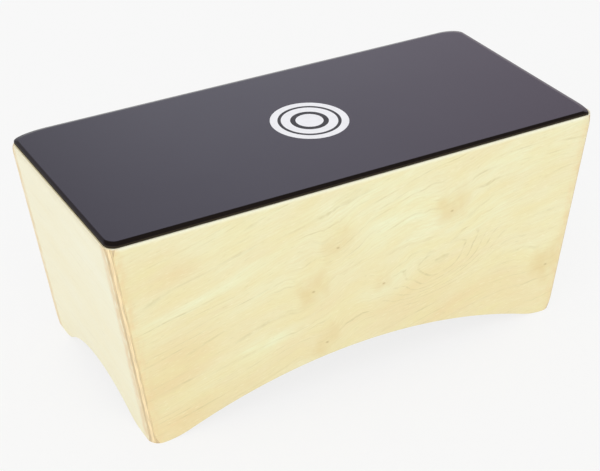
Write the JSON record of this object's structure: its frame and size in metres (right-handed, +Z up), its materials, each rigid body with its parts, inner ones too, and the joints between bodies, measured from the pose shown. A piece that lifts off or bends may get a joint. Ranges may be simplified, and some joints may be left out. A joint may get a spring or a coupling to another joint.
{
  "type": "bongo cajon",
  "caption": "Small box drum of birch plywood with a black playing surface, leaning ends, arched lower edges and an open bottom; a hidden divider makes a low and a high chamber.",
  "frame": {"origin": "on the floor, under the middle of the box", "axes": "+X along the length, to the right seen from the front; +Y to the back; +Z up, out of the playing surface"},
  "size_m": [0.4, 0.183, 0.172],
  "materials": {
    "birch_plywood": "clear satin lacquer on pale birch veneer, ply edges in view at the corners and arches",
    "black_lacquer": "smooth satin black lacquer on thin plywood",
    "divider_plywood": "bare sanded plywood",
    "spruce": "bare planed softwood"
  },
  "bodies": {
    "root": {"playing_surface": "black_lacquer", "front_wall": "birch_plywood", "back_wall": "birch_plywood", "left_end_wall": "birch_plywood", "right_end_wall": "birch_plywood", "chamber_divider": "divider_plywood", "left_end_batten": "spruce", "right_end_batten": "spruce", "front_left_batten": "spruce", "front_right_batten": "spruce", "back_left_batten": "spruce", "back_right_batten": "spruce", "front_left_corner_block": "spruce", "front_right_corner_block": "spruce", "back_left_corner_block": "spruce", "back_right_corner_block": "spruce"}
  },
  "joints": []
}
